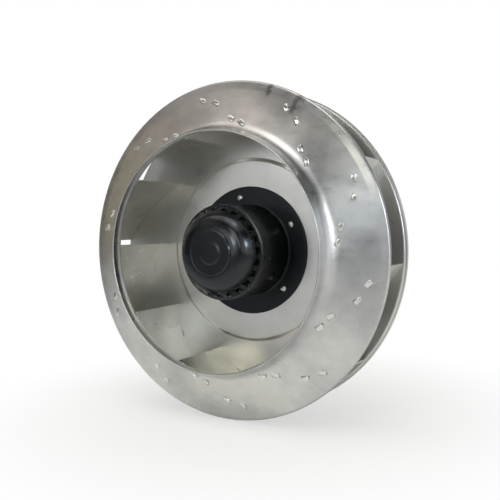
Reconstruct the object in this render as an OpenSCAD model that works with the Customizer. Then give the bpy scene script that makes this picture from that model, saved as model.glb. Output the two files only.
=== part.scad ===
// Motorised fan wheel: a backward-curved sheet aluminium impeller riveted to the
// spinning shell of an external rotor motor, with the stator and bearings inside.
// Frame: millimetres, +Z up, the wheel spins about Y. The inlet faces -Y.
// The origin is on the spin axis in the plane of the motor's mounting face.

/* [Wheel] */
// Diameter over the rim of the inlet shroud
wheel_d = 355; // [250:5:500]
// Diameter over the hemmed rim of the back plate
back_d = 353; // [240:1:490]
// Outside diameter of the inlet collar
eye_d = 247; // [160:1:340]
// Distance from the mounting face to the edge of the inlet collar
eye_h = 116; // [90:1:150]
// Distance from the mounting face to the rear edge of the shroud rim
rim_h = 75.5; // [55:0.5:95]
// Distance from the mounting face to the flat ring the blades stand on
plate_h = 25.5; // [16:0.5:32]
// Distance from the mounting face to the rear edge of the back plate rim
back_rim_h = 16.5; // [4:0.5:22]
// Thickness of the aluminium sheet
sheet_t = 1.5; // [1:0.1:2.5]

/* [Inlet shroud] */
// Straight length of the collar
collar_h = 5; // [3:1:12]
// Radius of the flare between the collar and the cone
flare_r = 18; // [10:1:30]
// Steepest angle of the cone, just outside the flare
cone_deg = 24; // [18:1:40]
// Radius of the gentle curve of the cone
cone_r = 300; // [140:5:400]
// Width of the flat band round the rim
band_w = 9; // [6:1:14]
// Slope of that band
band_deg = 14; // [2:1:16]
// Outside radius of the bend into the rim lip
bend_r = 2.6; // [2:0.1:4]

/* [Back plate] */
// Diameter of the raised centre of the plate
boss_d = 197; // [160:1:230]
// Height of the raised centre above the flat ring
boss_h = 2.5; // [1.5:0.5:12]
// Radius of the two bends of the step
step_r = 2.5; // [2:0.5:8]
// Steepest angle of the step
step_deg = 40; // [30:5:75]
// Radius of the bend into the rear rim
back_bend_r = 2; // [2:0.5:5]
// Width of the hem along the edge of the rear rim
hem_w = 4; // [3:0.5:6]

/* [Blades] */
// Number of blades
blade_count = 10; // [8:1:12]
// Radius of the leading edge
blade_in_r = 123; // [110:0.5:140]
// Radius of the trailing edge
blade_out_r = 173.5; // [150:0.5:175]
// Angle about the spin axis covered by one blade
blade_wrap = 35.4; // [28:0.1:44]
// Radius of the blade's own curve
blade_r = 200; // [150:5:260]
// Angle of the first leading edge, counter-clockwise from +X seen from the inlet
blade_phase = -3.8; // [-36:0.1:36]
// Width of a fixing tab
tab_w = 8; // [6:0.5:12]
// Length of the folded part of a fixing tab
tab_l = 5; // [4:0.5:8]

/* [Rotor] */
// Diameter of the rotor sleeve
rotor_d = 98.6; // [80:0.1:120]
// Distance from the mounting face to the front end of the sleeve
sleeve_h = 85.5; // [80:0.5:100]
// Inside diameter of the sleeve
sleeve_in_d = 92; // [76:1:110]
// Diameter of the sleeve's flange
flange_d = 142; // [120:1:160]
// Thickness of that flange
flange_t = 2; // [2:0.5:4]
// Number of flange rivets
rivet_count = 5; // [4:1:8]
// Pitch circle diameter of the rivets
rivet_pcd = 119; // [108:1:124]
// Diameter of a rivet head
rivet_head_d = 7; // [6:0.5:9]
// Angle of the first rivet, counter-clockwise from +X seen from the inlet
rivet_phase = 27.6; // [0:0.1:72]
// Distance from the mounting face to the nose of the end cap
nose_h = 109.5; // [100:0.5:130]
// Diameter of the pressed disc on the nose
nose_d = 45; // [30:1:50]
// Number of cooling slots round the end cap
vent_count = 24; // [16:1:32]
// Width of a cooling slot
vent_w = 6.6; // [4:0.2:8]

/* [Motor] */
// Shaft diameter
shaft_d = 12; // [10:1:15]
// Outside diameter of a ball bearing
bearing_d = 32; // [28:1:37]
// Width of a ball bearing
bearing_w = 10; // [8:1:12]
// Balls in a bearing
ball_count = 7; // [6:1:9]
// Ball diameter
ball_d = 5.96; // [5:0.01:7]
// Outside diameter of the stator core
stator_d = 74; // [60:1:90]
// Length of the stator and rotor cores
core_l = 44; // [30:1:60]
// Number of stator slots
slot_count = 24; // [12:6:36]
// Number of rotor bars
bar_count = 30; // [22:1:36]
// Air gap between stator and rotor, measured radially
air_gap = 0.4; // [0.3:0.05:0.8]

/* [Mounting] */
// Diameter of the stator's closing disc
disc_d = 100; // [92:1:106]
// Outside diameter of the mounting ring
ring_d = 84; // [76:1:92]
// Pitch circle diameter of the four tapped holes
mount_pcd = 66; // [56:1:76]
// Core diameter of the M6 tapped holes
mount_hole_d = 5; // [4:0.1:6]
// Depth of the tapped holes
mount_hole_l = 14; // [10:1:16]
// Diameter of the supply cable
cable_d = 7; // [5:0.5:9]
// Length of cable kept behind the mounting face
cable_l = 38; // [20:1:80]

/* [Hidden] */

aluminium = [0.70, 0.69, 0.67];
black_paint = [0.09, 0.09, 0.10];
bright_steel = [0.78, 0.78, 0.80];
core_steel = [0.42, 0.42, 0.44];
cast_alloy = [0.62, 0.62, 0.63];
copper = [0.72, 0.42, 0.24];
insulator_white = [0.88, 0.87, 0.82];
rubber_black = [0.06, 0.06, 0.06];

// Small gaps: between seated parts, between running parts, and overlap of cuts
seat_gap = 0.02;
tab_gap = 0.15;
edge_gap = 0.05;
cut = 1;
round_fn = 180;
small_fn = 48;

// Shroud section. Each arc is given by its centre (radius from the axis, height)
rim_r = wheel_d / 2;
eye_r = eye_d / 2;
flare_c = [eye_r + flare_r, eye_h - collar_h];
cone_c = flare_c + (cone_r - flare_r) * [sin(cone_deg), cos(cone_deg)];
crease_r = rim_r - band_w;
crease_deg = asin((cone_c[0] - crease_r) / cone_r);
crease_h = cone_c[1] - cone_r * cos(crease_deg);
lip_c = [
    rim_r - bend_r,
    crease_h - (rim_r - bend_r - crease_r) * tan(band_deg) - bend_r
];

// Back plate section
back_r = back_d / 2;
hem_t = 0.9;
lip_r = back_r - hem_t;
centre_h = plate_h + boss_h;
bend_drop = 2 * step_r * (1 - cos(step_deg));
bend_run = 2 * step_r * sin(step_deg);
wall_run = (boss_h - bend_drop) / tan(step_deg);
step_in = [boss_d / 2, centre_h - step_r];
step_out = [boss_d / 2 + bend_run + wall_run, plate_h + step_r];
plate_bore_r = rotor_d / 2 + 0.4;

// Blade curve in plan: it runs from the leading edge to the trailing edge
lead_p = blade_in_r * [1, 0];
trail_p = blade_out_r * [cos(blade_wrap), sin(blade_wrap)];
chord = trail_p - lead_p;
half_chord = norm(chord) / 2;
blade_c = (lead_p + trail_p) / 2
    + sqrt(blade_r * blade_r - half_chord * half_chord) * [-chord[1], chord[0]] / norm(chord);
lead_deg = atan2(lead_p[1] - blade_c[1], lead_p[0] - blade_c[0]);
trail_deg = atan2(trail_p[1] - blade_c[1], trail_p[0] - blade_c[0]);
// Tab places as a share of the blade from its trailing edge, and the side each folds to
front_tabs = [[0.21, -1], [0.385, 1], [0.665, -1], [0.8, 1]];
back_tabs = [[0.16, -1], [0.4, 1], [0.66, -1], [0.88, 1]];
slot_play = 0.5;
// Half the height of the cutters for the slots
front_slot_reach = 12;
back_slot_reach = 8;
// The tab is a little narrower and thinner where it passes through its slot,
// and its neck starts well inside the blade
neck_play = 1;
neck_t = sheet_t - 0.4;
front_neck_root = 9;
back_neck_root = 4;

// Rotor
rotor_r = rotor_d / 2;
sleeve_in_r = sleeve_in_d / 2;
rivet_shank_r = 2;
rivet_hole_r = 2.1;
cap_wall = 2.6;
cap_spigot_h = 2.5;
bead_h = 3;
bead_r = rotor_r + 0.7;
cap_base_h = sleeve_h + bead_h;
vent_low_h = cap_base_h + 1.2;
vent_high_h = vent_low_h + 7.6;
boss_bore_h = 90.5;
cap_boss_r = 12;
shaft_r = shaft_d / 2;
shaft_top_h = 105.5;
shaft_low_h = 3.5;
core_low_h = 36;
core_top_h = core_low_h + core_l;
stator_r = stator_d / 2;
rotor_bore_r = stator_r + air_gap;
bar_r = 1.7;
bar_pitch_r = rotor_bore_r + 2.4;
ring_out_r = sleeve_in_r - 3;
ring_l = 2.2;

// Bearings
bearing_r = bearing_d / 2;
race_pitch_r = (bearing_r + shaft_r) / 2;
ball_r = ball_d / 2;
groove_r = ball_r + 0.05;
inner_race_r = race_pitch_r - 1.8;
outer_race_r = race_pitch_r + 1.8;
front_bearing_h = 78.5;
rear_bearing_h = 8;
washer_room = 1.6;
circlip_t = 1.2;
circlip_h = rear_bearing_h - circlip_t - 0.1;
circlip_groove_r = shaft_r - 0.6;

// Stator
tube_r = 20;
tube_top_h = front_bearing_h + bearing_w + 0.5;
tube_low_h = rear_bearing_h - 2;
tube_rib_r = bearing_r - 1.8;
disc_low_h = 15;
disc_top_h = 23.5;
lip_out_r = sleeve_in_r - 1.2;
lip_in_r = lip_out_r - 2.3;
lip_top_h = 31;
insulator_t = 1.4;
front_insulator_h = core_top_h + edge_gap / 2;
rear_insulator_h = core_low_h - insulator_t - edge_gap / 2;
collar_l = 7;
coil_head_l = 8;
slot_in_r = 25;
slot_out_r = 34.6;
slot_mouth = 1.8;
slot_narrow = 2.2;
slot_wide = 3.6;
slot_side_gap = 0.25;
notch_w = 15;
notch_h = 12;
cable_place_r = mount_pcd / 2;
cable_way_r = cable_d / 2 + 1.5;
lead_d = 1.7;
lead_place_r = 2;
lead_top_h = 27;
lead_tail = 12;

// Points on an arc, from one angle to another
function arc(c, r, a0, a1, n) =
    [for (i = [0:n]) c + r * [cos(a0 + (a1 - a0) * i / n), sin(a0 + (a1 - a0) * i / n)]];

function reverse(v) = [for (i = [len(v) - 1:-1:0]) v[i]];

// The shroud's section line at depth d behind its front surface
function shroud_line(d) = concat(
    [[eye_r - d, eye_h]],
    arc(flare_c, flare_r + d, 180, 270 - cone_deg, 10),
    arc(cone_c, cone_r + d, 270 - cone_deg + 1, 270 - crease_deg, 12),
    arc(lip_c, bend_r - d, 90 - band_deg, 0, 5),
    [[rim_r - d, rim_h]]
);

// The back plate's section line at depth d behind its front surface
function plate_line(d) = concat(
    [[plate_bore_r, centre_h - d]],
    arc(step_in, step_r - d, 90, 90 - step_deg, 6),
    arc(step_out, step_r + d, 270 - step_deg, 270, 6),
    arc([lip_r - back_bend_r, plate_h - back_bend_r], back_bend_r - d, 90, 0, 6),
    [[lip_r - d, back_rim_h]]
);

// Height of the shroud's front surface at a radius
function on_flare(r) = r < flare_c[0] - flare_r * sin(cone_deg);
function arc_low(c, radius, r) = c[1] - sqrt(radius * radius - (c[0] - r) * (c[0] - r));
function front_h(r) = on_flare(r) ? arc_low(flare_c, flare_r, r) : arc_low(cone_c, cone_r, r);

// A point on the blade curve at a share of its length from the trailing edge
function blade_deg(s) = trail_deg + (lead_deg - trail_deg) * s;
function blade_point(s, off = 0) =
    blade_c + (blade_r + off) * [cos(blade_deg(s)), sin(blade_deg(s))];

// Turns a part built along the spin axis into the row frame, inlet towards -Y
module axial() {
    rotate([90, 0, 0])
        children();
}

module tube(r_out, r_in, h0, h1, fn = round_fn) {
    translate([0, 0, h0])
        difference() {
            cylinder(r = r_out, h = h1 - h0, $fn = fn);
            translate([0, 0, -cut])
                cylinder(r = r_in, h = h1 - h0 + 2 * cut, $fn = fn);
        }
}

// Repeats its children evenly about the spin axis
module ring_of(n, phase = 0) {
    for (i = [0:n - 1])
        rotate([0, 0, phase + i * 360 / n])
            children();
}

// ---------------------------------------------------------------- impeller

// A box standing on the blade line at a share of its length
module blade_box(s, w, t, h0, h1) {
    p = blade_point(s);
    translate([p[0], p[1], (h0 + h1) / 2])
        rotate([0, 0, blade_deg(s) + 90])
            cube([w, t, h1 - h0], center = true);
}

// Openings one blade's tabs pass through
module front_slots() {
    for (t = front_tabs) {
        h = front_h(norm(blade_point(t[0])));
        blade_box(t[0], tab_w + slot_play, sheet_t + slot_play,
            h - front_slot_reach, h + front_slot_reach);
    }
}

module back_slots() {
    for (t = back_tabs)
        blade_box(t[0], tab_w + slot_play, sheet_t + slot_play,
            plate_h - back_slot_reach, plate_h + back_slot_reach);
}

// A tab that comes through the shroud and is folded flat onto it
module front_tab(s, side) {
    h = front_h(norm(blade_point(s)));
    q = blade_point(s, side * (tab_l - sheet_t) / 2);
    q_r = norm(q);
    q_deg = atan2(q[1], q[0]);
    // the sheet is hollow here, so a flat tab rests on its inner and outer edges
    in_h = front_h(q_r - tab_w / 2);
    out_h = front_h(q_r + tab_w / 2);
    blade_box(s, tab_w - neck_play, neck_t, h - front_neck_root, h + sheet_t * 0.6);
    rotate([0, 0, q_deg])
        translate([q_r, 0, (in_h + out_h) / 2])
            rotate([0, atan2(in_h - out_h, tab_w), 0])
                translate([0, 0, sheet_t / 2 + tab_gap])
                    rotate([0, 0, blade_deg(s) + 90 - q_deg])
                        cube([tab_w, tab_l, sheet_t], center = true);
}

module back_tab(s, side) {
    q = blade_point(s, side * (tab_l - sheet_t) / 2);
    low_h = plate_h - 2 * sheet_t - tab_gap;
    blade_box(s, tab_w - neck_play, neck_t, low_h + sheet_t * 0.6, plate_h + back_neck_root);
    translate([q[0], q[1], low_h + sheet_t / 2])
        rotate([0, 0, blade_deg(s) + 90])
            cube([tab_w, tab_l, sheet_t], center = true);
}

// The blade's plan: a strip along its curve
module blade_plan() {
    reach = blade_r * 1.3;
    translate(blade_c)
        intersection() {
            difference() {
                circle(r = blade_r + sheet_t / 2, $fn = 2 * round_fn);
                circle(r = blade_r - sheet_t / 2, $fn = 2 * round_fn);
            }
            polygon([
                [0, 0],
                reach * [cos(lead_deg), sin(lead_deg)],
                reach * [cos(trail_deg), sin(trail_deg)]
            ]);
        }
}

module blade(i) {
    clear_d = sheet_t + edge_gap;
    foot_h = plate_h + edge_gap;
    inner_room = 20;
    color(aluminium)
        axial()
            rotate([0, 0, blade_phase + i * 360 / blade_count]) {
                intersection() {
                    linear_extrude(height = eye_h)
                        blade_plan();
                    rotate([0, 0, 180])
                        rotate_extrude($fn = round_fn)
                            polygon(concat(
                                [[blade_in_r - inner_room, foot_h],
                                 [rim_r - clear_d - 1, foot_h]],
                                reverse(shroud_line(clear_d))
                            ));
                }
                for (t = front_tabs)
                    front_tab(t[0], t[1]);
                for (t = back_tabs)
                    back_tab(t[0], t[1]);
            }
}

module inlet_shroud() {
    color(aluminium)
        axial()
            difference() {
                rotate_extrude($fn = round_fn)
                    polygon(concat(shroud_line(0), reverse(shroud_line(sheet_t))));
                ring_of(blade_count, blade_phase)
                    front_slots();
            }
}

module back_plate() {
    color(aluminium)
        axial()
            difference() {
                union() {
                    rotate_extrude($fn = round_fn)
                        polygon(concat(plate_line(0), reverse(plate_line(sheet_t))));
                    tube(back_r, lip_r - sheet_t / 2, back_rim_h, back_rim_h + hem_w);
                }
                ring_of(blade_count, blade_phase)
                    back_slots();
                rivet_holes();
            }
}

// ------------------------------------------------------------------- rotor

module rivet_holes() {
    ring_of(rivet_count, rivet_phase)
        translate([rivet_pcd / 2, 0, centre_h - 2 * sheet_t])
            cylinder(r = rivet_hole_r, h = 4 * sheet_t + flange_t, $fn = small_fn);
}

module flange_rivets() {
    head_r = rivet_head_d / 2;
    top_h = centre_h + flange_t + edge_gap;
    low_h = centre_h - sheet_t - edge_gap;
    head_l = 2;
    color(bright_steel)
        axial()
            ring_of(rivet_count, rivet_phase)
                translate([rivet_pcd / 2, 0, 0])
                    rotate_extrude($fn = small_fn)
                        polygon(concat(
                            [[0, low_h - head_l * 0.8], [head_r * 0.8, low_h - head_l * 0.8],
                             [head_r * 0.9, low_h], [rivet_shank_r, low_h],
                             [rivet_shank_r, top_h], [head_r, top_h]],
                            [for (a = [15:15:75])
                                [head_r * cos(a), top_h + head_l * sin(a)]],
                            [[0, top_h + head_l]]
                        ));
}

module rotor_sleeve() {
    fillet = 2;
    top_h = centre_h + flange_t;
    color(black_paint)
        axial()
            difference() {
                rotate_extrude($fn = round_fn)
                    polygon(concat(
                        [[sleeve_in_r, centre_h + seat_gap],
                         [flange_d / 2, centre_h + seat_gap],
                         [flange_d / 2, top_h - 0.5], [flange_d / 2 - 0.5, top_h]],
                        arc([rotor_r + fillet, top_h + fillet], fillet, 270, 180, 4),
                        [[rotor_r, sleeve_h], [sleeve_in_r, sleeve_h]]
                    ));
                rivet_holes();
            }
}

// Outside section of the end cap, from the rim to the nose
function cap_outside() = [
    [bead_r, sleeve_h + seat_gap],
    [bead_r + 0.1, sleeve_h + 1.2],
    [bead_r - 0.4, cap_base_h - 0.6],
    [rotor_r - 1.4, cap_base_h],
    [rotor_r - 2.2, cap_base_h + 2.4],
    [rotor_r - 5.4, cap_base_h + 8],
    [rotor_r - 9.6, cap_base_h + 13.2],
    [rotor_r - 13.4, cap_base_h + 16.6],
    [rotor_r - 15, cap_base_h + 17.6],
    [rotor_r - 17.4, nose_h - 2.6],
    [rotor_r - 21, nose_h - 1.3],
    [nose_d / 2 + 1.2, nose_h - 0.9],
    [nose_d / 2, nose_h]
];

// Inside section of the end cap, from the nose wall to the spigot
function cap_inside() = [
    [cap_boss_r, nose_h - cap_wall - 0.8],
    [rotor_r - 21, nose_h - cap_wall - 1.6],
    [rotor_r - 17.6, cap_base_h + 15.4],
    [rotor_r - 12.2, cap_base_h + 11.8],
    [rotor_r - 8, cap_base_h + 6.6],
    [rotor_r - 6, cap_base_h + 0.6],
    [sleeve_in_r - 2.4, sleeve_h - cap_spigot_h]
];

module rotor_end_cap() {
    vent_in_r = rotor_r - 14;
    color(black_paint)
        axial()
            difference() {
                rotate_extrude($fn = round_fn)
                    polygon(concat(
                        [[shaft_r, nose_h - cap_wall], [0, nose_h - cap_wall], [0, nose_h]],
                        reverse(cap_outside()),
                        [[sleeve_in_r - seat_gap, sleeve_h + seat_gap],
                         [sleeve_in_r - seat_gap, sleeve_h - cap_spigot_h]],
                        reverse(cap_inside()),
                        [[cap_boss_r, boss_bore_h], [shaft_r, boss_bore_h]]
                    ));
                ring_of(vent_count, 180 / vent_count - 5)
                    translate([vent_in_r, -vent_w / 2, vent_low_h])
                        cube([20, vent_w, vent_high_h - vent_low_h]);
            }
}

module bar_places() {
    ring_of(bar_count)
        translate([bar_pitch_r, 0, 0])
            children();
}

module rotor_core() {
    color(core_steel)
        axial()
            translate([0, 0, core_low_h])
                linear_extrude(height = core_l)
                    difference() {
                        circle(r = sleeve_in_r - seat_gap, $fn = round_fn);
                        circle(r = rotor_bore_r, $fn = round_fn);
                        bar_places()
                            circle(r = bar_r, $fn = small_fn);
                    }
}

module rotor_cage() {
    color(cast_alloy)
        axial() {
            tube(ring_out_r, rotor_bore_r + 0.3, core_low_h - ring_l, core_low_h - edge_gap);
            tube(ring_out_r, rotor_bore_r + 0.3, core_top_h + edge_gap, core_top_h + ring_l);
            bar_places()
                translate([0, 0, core_low_h - 1])
                    cylinder(r = bar_r - seat_gap, h = core_l + 2, $fn = small_fn);
        }
}

module shaft() {
    chamfer = 0.8;
    color(bright_steel)
        axial()
            rotate_extrude($fn = small_fn * 2)
                polygon([
                    [0, shaft_low_h],
                    [shaft_r - chamfer, shaft_low_h],
                    [shaft_r - seat_gap, shaft_low_h + chamfer],
                    [shaft_r - seat_gap, circlip_h - 0.05],
                    [circlip_groove_r, circlip_h - 0.05],
                    [circlip_groove_r, circlip_h + circlip_t + 0.05],
                    [shaft_r - seat_gap, circlip_h + circlip_t + 0.05],
                    [shaft_r - seat_gap, shaft_top_h],
                    [0, shaft_top_h]
                ]);
}

module shaft_circlip() {
    gap_w = 5;
    clip_r = shaft_r + 2.2;
    color(bright_steel)
        axial()
            difference() {
                tube(clip_r, circlip_groove_r + seat_gap,
                    circlip_h, circlip_h + circlip_t, small_fn * 2);
                translate([0, -gap_w / 2, circlip_h - cut])
                    cube([clip_r * 2, gap_w, circlip_t + 2 * cut]);
            }
}

// ---------------------------------------------------------------- bearings

module groove(h0) {
    translate([0, 0, h0 + bearing_w / 2])
        rotate_extrude($fn = round_fn)
            translate([race_pitch_r, 0])
                circle(r = groove_r, $fn = small_fn);
}

module inner_race(h0) {
    color(bright_steel)
        axial()
            difference() {
                tube(inner_race_r, shaft_r, h0, h0 + bearing_w, small_fn * 2);
                groove(h0);
            }
}

module outer_race(h0) {
    color(bright_steel)
        axial()
            difference() {
                tube(bearing_r - seat_gap, outer_race_r, h0, h0 + bearing_w, small_fn * 2);
                groove(h0);
            }
}

module ball_set(h0) {
    color(bright_steel)
        axial()
            ring_of(ball_count)
                translate([race_pitch_r, 0, h0 + bearing_w / 2])
                    sphere(r = ball_r, $fn = small_fn);
}

// A ring with a square pocket for each ball
module ball_cage(h0) {
    side = 1.2;
    pocket = 2 * ball_r + 0.2;
    color(insulator_white)
        axial()
            difference() {
                tube(outer_race_r - 0.4, inner_race_r + 0.4,
                    h0 + side, h0 + bearing_w - side, small_fn * 2);
                ring_of(ball_count)
                    translate([race_pitch_r, 0, h0 + bearing_w / 2])
                        cube([bearing_w, pocket, pocket], center = true);
            }
}

// ------------------------------------------------------------------ stator

module stator_flange() {
    color(cast_alloy)
        axial()
            difference() {
                rotate_extrude($fn = round_fn)
                    polygon([
                        [tube_rib_r, tube_low_h],
                        [tube_r + 3, 0],
                        [ring_d / 2 - 1, 0],
                        [ring_d / 2, 1],
                        [ring_d / 2, disc_low_h],
                        [disc_d / 2 - 1, disc_low_h],
                        [disc_d / 2, disc_low_h + 1],
                        [disc_d / 2, disc_top_h],
                        [lip_out_r, disc_top_h],
                        [lip_out_r, lip_top_h],
                        [lip_in_r, lip_top_h],
                        [lip_in_r, disc_top_h - 2],
                        [tube_r + 2, disc_top_h - 2],
                        [tube_r - seat_gap, disc_top_h],
                        [tube_r - seat_gap, tube_top_h],
                        [tube_rib_r, tube_top_h]
                    ]);
                // bearing seats at both ends of the tube
                translate([0, 0, front_bearing_h - washer_room])
                    cylinder(r = bearing_r, h = 4 * bearing_w, $fn = small_fn * 2);
                translate([0, 0, rear_bearing_h - 3 * bearing_w])
                    cylinder(r = bearing_r, h = 4 * bearing_w, $fn = small_fn * 2);
                // four tapped mounting holes
                ring_of(4)
                    translate([mount_pcd / 2, 0, -cut])
                        cylinder(d = mount_hole_d, h = mount_hole_l + cut, $fn = small_fn);
                // notches between the holes lighten the ring, the lowest lets the cable out
                ring_of(4, 45)
                    translate([tube_r + 4, -notch_w / 2, -cut])
                        cube([40, notch_w, notch_h + cut]);
                cable_way();
            }
}

module at_cable() {
    rotate([0, 0, -135])
        translate([cable_place_r, 0, 0])
            children();
}

module cable_way() {
    at_cable()
        translate([0, 0, -cut])
            cylinder(r = cable_way_r, h = 2 * lip_top_h, $fn = small_fn);
}

// Plan of the stator slots, shrunk by a side gap for what lies in them
module slot_plan(gap = 0, mouth = true) {
    ring_of(slot_count, 180 / slot_count) {
        polygon([
            [slot_in_r + gap, -slot_narrow / 2 + gap],
            [slot_out_r - gap, -slot_wide / 2 + gap],
            [slot_out_r - gap, slot_wide / 2 - gap],
            [slot_in_r + gap, slot_narrow / 2 - gap]
        ]);
        if (mouth)
            translate([slot_out_r - 1, -slot_mouth / 2])
                square([6, slot_mouth]);
    }
}

module stator_core() {
    color(core_steel)
        axial()
            translate([0, 0, core_low_h])
                linear_extrude(height = core_l)
                    difference() {
                        circle(r = stator_r, $fn = round_fn);
                        circle(r = tube_r, $fn = round_fn);
                        slot_plan();
                    }
}

// An insulating end plate with a collar that holds the coil heads
module insulator(h0, wall_h) {
    outer_r = stator_r - 0.6;
    wall = 1;
    color(insulator_white)
        axial() {
            translate([0, 0, h0])
                linear_extrude(height = insulator_t)
                    difference() {
                        circle(r = outer_r, $fn = round_fn);
                        circle(r = tube_r + edge_gap, $fn = round_fn);
                        slot_plan();
                    }
            tube(tube_r + edge_gap + wall, tube_r + edge_gap, wall_h, wall_h + collar_l);
        }
}

module coil_head(h0, h1) {
    soft = 2;
    rotate_extrude($fn = round_fn)
        polygon([
            [slot_in_r - 1.4, h0], [slot_out_r + 0.4, h0],
            [slot_out_r + 0.9, h0 + soft], [slot_out_r + 0.9, h1 - soft],
            [slot_out_r - 1, h1], [slot_in_r + 0.8, h1],
            [slot_in_r - 1.4, h1 - soft]
        ]);
}

module stator_winding() {
    head_gap = insulator_t + edge_gap;
    front_h0 = core_top_h + head_gap;
    rear_h0 = core_low_h - head_gap;
    color(copper)
        axial() {
            coil_head(front_h0, front_h0 + coil_head_l);
            mirror([0, 0, 1])
                coil_head(-rear_h0, -rear_h0 + coil_head_l);
            translate([0, 0, rear_h0 - 1])
                linear_extrude(height = front_h0 - rear_h0 + 2)
                    slot_plan(slot_side_gap, false);
        }
}

// A shallow cone that presses the front bearing outwards
module spring_washer() {
    t = 0.5;
    rise = 0.6;
    low_h = front_bearing_h - washer_room + edge_gap;
    color(bright_steel)
        axial()
            rotate_extrude($fn = small_fn * 2)
                polygon([
                    [outer_race_r - 0.5, low_h + rise],
                    [bearing_r - 0.1, low_h],
                    [bearing_r - 0.1, low_h + t],
                    [outer_race_r - 0.5, low_h + rise + t - 0.2]
                ]);
}

module cable_grommet() {
    collar_r = cable_way_r + 1.6;
    color(rubber_black)
        axial()
            at_cable()
                rotate_extrude($fn = small_fn)
                    polygon([
                        [cable_d / 2 + seat_gap, notch_h - 5],
                        [collar_r - 1, notch_h - 5],
                        [collar_r, notch_h - 2],
                        [collar_r, notch_h - edge_gap],
                        [cable_way_r - edge_gap, notch_h - edge_gap],
                        [cable_way_r - edge_gap, disc_top_h - 3],
                        [cable_d / 2 + seat_gap, disc_top_h - 3]
                    ]);
}

module lead_places(i) {
    rotate([0, 0, i * 90])
        translate([lead_place_r, 0, 0])
            children();
}

module supply_cable() {
    color(rubber_black)
        axial()
            at_cable()
                translate([0, 0, -cable_l])
                    difference() {
                        cylinder(d = cable_d, h = cable_l + disc_top_h - 4, $fn = small_fn);
                        for (i = [0:3])
                            lead_places(i)
                                translate([0, 0, -cut])
                                    cylinder(d = lead_d + 2 * seat_gap,
                                        h = cable_l + disc_top_h, $fn = 24);
                    }
}

module lead(i, tint) {
    color(tint)
        axial()
            at_cable()
                lead_places(i)
                    translate([0, 0, -cable_l - lead_tail])
                        cylinder(d = lead_d, h = cable_l + lead_tail + lead_top_h - 2.8, $fn = 24);
}

inlet_shroud();
back_plate();
blade(0);  // blade_01
blade(1);  // blade_02
blade(2);  // blade_03
blade(3);  // blade_04
blade(4);  // blade_05
blade(5);  // blade_06
blade(6);  // blade_07
blade(7);  // blade_08
blade(8);  // blade_09
blade(9);  // blade_10
flange_rivets();
rotor_sleeve();
rotor_end_cap();
rotor_core();
rotor_cage();
shaft();
shaft_circlip();
inner_race(front_bearing_h);  // front_inner_race
inner_race(rear_bearing_h);  // rear_inner_race
outer_race(front_bearing_h);  // front_outer_race
outer_race(rear_bearing_h);  // rear_outer_race
ball_set(front_bearing_h);  // front_balls
ball_set(rear_bearing_h);  // rear_balls
ball_cage(front_bearing_h);  // front_ball_cage
ball_cage(rear_bearing_h);  // rear_ball_cage
stator_flange();
stator_core();
insulator(front_insulator_h, core_top_h + 0.5);  // front_insulator
insulator(rear_insulator_h, core_low_h - collar_l - 0.5);  // rear_insulator
stator_winding();
spring_washer();
cable_grommet();
supply_cable();
lead(0, [0.36, 0.20, 0.10]);  // lead_brown
lead(1, [0.10, 0.25, 0.60]);  // lead_blue
lead(2, [0.08, 0.08, 0.08]);  // lead_black
lead(3, [0.35, 0.60, 0.15]);  // lead_earth
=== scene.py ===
import math

import bmesh
import bpy
import numpy as np
from mathutils import Matrix, Quaternion, Vector


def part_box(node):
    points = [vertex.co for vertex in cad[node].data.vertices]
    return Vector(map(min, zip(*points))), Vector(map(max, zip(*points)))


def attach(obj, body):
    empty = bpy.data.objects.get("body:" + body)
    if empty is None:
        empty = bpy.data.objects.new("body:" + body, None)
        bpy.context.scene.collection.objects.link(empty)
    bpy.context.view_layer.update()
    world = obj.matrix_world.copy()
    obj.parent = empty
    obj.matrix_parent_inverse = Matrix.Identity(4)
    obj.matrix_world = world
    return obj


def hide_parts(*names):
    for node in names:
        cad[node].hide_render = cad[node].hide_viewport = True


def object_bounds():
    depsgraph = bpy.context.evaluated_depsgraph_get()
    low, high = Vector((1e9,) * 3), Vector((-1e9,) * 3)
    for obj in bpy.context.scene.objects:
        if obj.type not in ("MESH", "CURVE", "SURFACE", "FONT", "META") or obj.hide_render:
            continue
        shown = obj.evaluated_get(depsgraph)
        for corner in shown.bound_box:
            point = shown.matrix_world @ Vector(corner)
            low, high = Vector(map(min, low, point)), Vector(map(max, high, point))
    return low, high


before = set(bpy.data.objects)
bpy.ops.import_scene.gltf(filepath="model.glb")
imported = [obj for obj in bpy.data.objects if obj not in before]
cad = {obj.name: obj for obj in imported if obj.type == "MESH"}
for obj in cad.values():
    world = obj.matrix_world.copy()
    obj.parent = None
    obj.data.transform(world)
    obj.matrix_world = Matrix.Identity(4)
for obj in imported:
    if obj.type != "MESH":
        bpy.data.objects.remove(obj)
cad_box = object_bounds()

# ---------------------------------------------------------------- the frame
# Shapes are built in a wheel frame, in millimetres: x right, y up and h from the
# mounting face towards the inlet. In the row frame Y is -h.
MM = 0.001
ROTOR = "rotor"
# edges between faces at more than this angle stay sharp; lengths here are in metres
SHARP_DEG, WELD, SLIVER = 32.0, 1e-6, 1e-7
rng = np.random.default_rng(11)


def half_width(node):
    """Outer radius of a round CAD node."""
    low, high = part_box(node)
    return (high.x - low.x) / 2 / MM


def height(node):
    """Lowest and highest h of a CAD node."""
    low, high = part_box(node)
    return -high.y / MM, -low.y / MM


SHEET = 1.5
RIM_R = half_width("inlet_shroud")
RIM_H, EYE_H = height("inlet_shroud")
BACK_R = half_width("back_plate")
BACK_H, CENTRE_H = height("back_plate")
FLANGE_R = half_width("rotor_sleeve")
FLANGE_H, SLEEVE_H = height("rotor_sleeve")
BEAD_R = half_width("rotor_end_cap")
NOSE_H = height("rotor_end_cap")[1]
ROTOR_R = 49.3

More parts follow.
